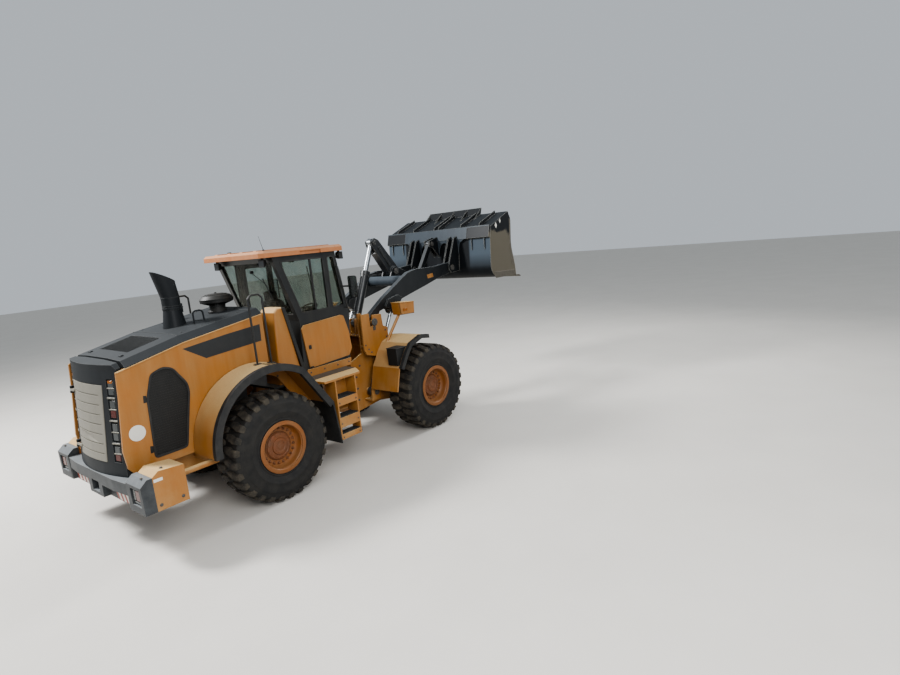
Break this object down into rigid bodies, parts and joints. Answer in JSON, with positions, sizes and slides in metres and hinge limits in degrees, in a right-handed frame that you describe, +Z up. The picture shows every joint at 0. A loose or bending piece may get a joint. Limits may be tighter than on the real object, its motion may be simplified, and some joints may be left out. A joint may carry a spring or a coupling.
{
  "type": "articulated wheel loader",
  "caption": "Articulated wheel loader with a Z-bar linkage, raised bucket, glazed cab, louvred rear grille and four large tyres.",
  "frame": {"origin": "on the ground under the middle of the machine's length", "axes": "+X towards the bucket, +Y to the machine's left, +Z up"},
  "size_m": [7.94, 2.76, 3.8337],
  "materials": {
    "body_yellow": "satin ochre yellow paint, dusty",
    "dark_paint": "dark charcoal paint, dusty",
    "loader_paint": "dark paint worn by gravel",
    "cast_block": "cast",
    "grille_paint": "dusty grey paint",
    "rim_orange": "orange paint",
    "cylinder_chrome": "hard chrome",
    "worn_edge": "bare worn steel",
    "tyre": "black tyre rubber, dusty",
    "rubber_flap": "black rubber",
    "window_glass": "tinted glass",
    "cab_trim": "black plastic",
    "lamp_plastic": "lamp"
  },
  "bodies": {
    "rear_body": {"rear_frame": "body_yellow", "rear_axle": "dark_paint", "engine": "cast_block", "radiator": "dark_paint", "transmission": "cast_block", "hydraulic_tank": "body_yellow", "counterweight": "dark_paint", "corner_weights": "body_yellow", "grille_frame": "dark_paint", "rear_fenders": "body_yellow", "rear_fender_edges": "rubber_flap", "mud_flaps": "rubber_flap", "cab_frame": "dark_paint", "cab_panels": "body_yellow", "cab_roof": "body_yellow", "cab_glass": "window_glass", "cab_interior": "cab_trim", "roof_lamps": "lamp_plastic", "access_steps": "dark_paint", "hand_rails": "dark_paint", "mirrors": "cab_trim"},
    "hood": {"hood": "body_yellow", "hood_cover": "dark_paint", "hood_mesh": "dark_paint", "exhaust_stack": "dark_paint", "pre_cleaner": "cab_trim"},
    "grille_door": {"grille_door": "grille_paint"},
    "cab_door": {"cab_door": "dark_paint", "door_glass": "window_glass"},
    "front_body": {"front_frame": "body_yellow", "front_axle": "dark_paint", "front_fenders": "body_yellow", "front_fender_edges": "rubber_flap", "head_lamps": "body_yellow"},
    "lift_arms": {"lift_arms": "loader_paint"},
    "bell_crank": {"bell_crank": "loader_paint"},
    "tilt_link": {"tilt_link": "loader_paint"},
    "bucket": {"bucket": "loader_paint", "cutting_edge": "worn_edge"},
    "tilt_barrel": {"tilt_barrel": "loader_paint"},
    "tilt_rod": {"tilt_rod": "cylinder_chrome"},
    "lift_barrels": {"lift_barrels": "loader_paint"},
    "lift_rods": {"lift_rods": "cylinder_chrome"},
    "steer_barrel_left": {"steer_barrel_left": "dark_paint"},
    "steer_rod_left": {"steer_rod_left": "cylinder_chrome"},
    "steer_barrel_right": {"steer_barrel_right": "dark_paint"},
    "steer_rod_right": {"steer_rod_right": "cylinder_chrome"},
    "wheel_front_left": {"tyre_front_left": "tyre", "rim_front_left": "rim_orange"},
    "wheel_front_right": {"tyre_front_right": "tyre", "rim_front_right": "rim_orange"},
    "wheel_rear_left": {"tyre_rear_left": "tyre", "rim_rear_left": "rim_orange"},
    "wheel_rear_right": {"tyre_rear_right": "tyre", "rim_rear_right": "rim_orange"}
  },
  "joints": [
    {"name": "steer", "type": "hinge", "parent": "rear_body", "child": "front_body", "pos_m": [-0.5, 0, 0.85], "axis": [0, 0, 1], "range_deg": [-40, 40]},
    {"name": "lift", "type": "hinge", "parent": "front_body", "child": "lift_arms", "pos_m": [0.38, 0, 2], "axis": [0, -1, 0], "range_deg": [-57, 37]},
    {"name": "bucket_tilt", "type": "hinge", "parent": "lift_arms", "child": "bucket", "pos_m": [2.69, 0, 2.7], "axis": [0, 1, 0], "range_deg": [-50, 45]},
    {"name": "bell_turn", "type": "hinge", "parent": "lift_arms", "child": "bell_crank", "pos_m": [1.55, 0, 2.76], "axis": [0, -1, 0], "range_deg": [-16.31, 14.71]},
    {"name": "link_turn", "type": "hinge", "parent": "bell_crank", "child": "tilt_link", "pos_m": [2.25, 0, 2.48], "axis": [0, 1, 0], "range_deg": [-42.81, 38.61]},
    {"name": "tilt_barrel_turn", "type": "hinge", "parent": "front_body", "child": "tilt_barrel", "pos_m": [0.52, 0, 1.95], "axis": [0, -1, 0], "range_deg": [-59.37, 38.88]},
    {"name": "tilt_rod_slide", "type": "slide", "parent": "tilt_barrel", "child": "tilt_rod", "axis": [0.4015, 0, 0.9159], "range_m": [-0.1568, 0.1739]},
    {"name": "lift_barrel_turn", "type": "hinge", "parent": "front_body", "child": "lift_barrels", "pos_m": [0.26, 0, 0.8], "axis": [0, -1, 0], "range_deg": [-10.67, 6.99]},
    {"name": "lift_rod_slide", "type": "slide", "parent": "lift_barrels", "child": "lift_rods", "axis": [0.4584, 0, 0.8887], "range_m": [-0.4663, 0.3054]},
    {"name": "hood_lid", "type": "hinge", "parent": "rear_body", "child": "hood", "pos_m": [-3.635, 0, 2.212], "axis": [0, -1, 0], "range_deg": [0, 55]},
    {"name": "grille_swing", "type": "hinge", "parent": "rear_body", "child": "grille_door", "pos_m": [-3.89033, 0.5, 1.50905], "axis": [-0.0785, 0, -0.9969], "range_deg": [0, 100]},
    {"name": "cab_door_swing", "type": "hinge", "parent": "rear_body", "child": "cab_door", "pos_m": [-1.145, 0.765, 2], "axis": [0, 0, 1], "range_deg": [0, 90]},
    {"name": "steer_barrel_left_turn", "type": "hinge", "parent": "rear_body", "child": "steer_barrel_left", "pos_m": [-1.36, 0.33, 0.7], "axis": [0, 0, 1], "range_deg": [-3.27, 3.27]},
    {"name": "steer_rod_left_slide", "type": "slide", "parent": "steer_barrel_left", "child": "steer_rod_left", "axis": [0.9998, 0.0208, 0], "range_m": [-0.233, 0.233]},
    {"name": "steer_barrel_right_turn", "type": "hinge", "parent": "rear_body", "child": "steer_barrel_right", "pos_m": [-1.36, -0.33, 0.7], "axis": [0, 0, 1], "range_deg": [-3.27, 3.27]},
    {"name": "steer_rod_right_slide", "type": "slide", "parent": "steer_barrel_right", "child": "steer_rod_right", "axis": [0.9998, -0.0208, 0], "range_m": [-0.233, 0.233]},
    {"name": "wheel_front_left_spin", "type": "hinge", "parent": "front_body", "child": "wheel_front_left", "pos_m": [1.1, 1.025, 0.745], "axis": [0, 1, 0], "continuous": true},
    {"name": "wheel_front_right_spin", "type": "hinge", "parent": "front_body", "child": "wheel_front_right", "pos_m": [1.1, -1.025, 0.745], "axis": [0, 1, 0], "continuous": true},
    {"name": "wheel_rear_left_spin", "type": "hinge", "parent": "rear_body", "child": "wheel_rear_left", "pos_m": [-2.1, 1.025, 0.745], "axis": [0, 1, 0], "continuous": true},
    {"name": "wheel_rear_right_spin", "type": "hinge", "parent": "rear_body", "child": "wheel_rear_right", "pos_m": [-2.1, -1.025, 0.745], "axis": [0, 1, 0], "continuous": true}
  ],
  "couplings": [
    {"joint": "bell_turn", "follows": "bucket_tilt", "ratio": 0.32},
    {"joint": "link_turn", "follows": "bucket_tilt", "ratio": 0.84},
    {"joint": "tilt_barrel_turn", "follows": "lift", "ratio": 1.0245},
    {"joint": "tilt_rod_slide", "follows": "bucket_tilt", "m_per_rad": -0.19551},
    {"joint": "lift_barrel_turn", "follows": "lift", "ratio": 0.18406},
    {"joint": "lift_rod_slide", "follows": "lift", "m_per_rad": 0.46113},
    {"joint": "steer_barrel_left_turn", "follows": "steer", "ratio": 0.07989},
    {"joint": "steer_rod_left_slide", "follows": "steer", "m_per_rad": -0.32714},
    {"joint": "steer_barrel_right_turn", "follows": "steer", "ratio": 0.07989},
    {"joint": "steer_rod_right_slide", "follows": "steer", "m_per_rad": 0.32714}
  ]
}
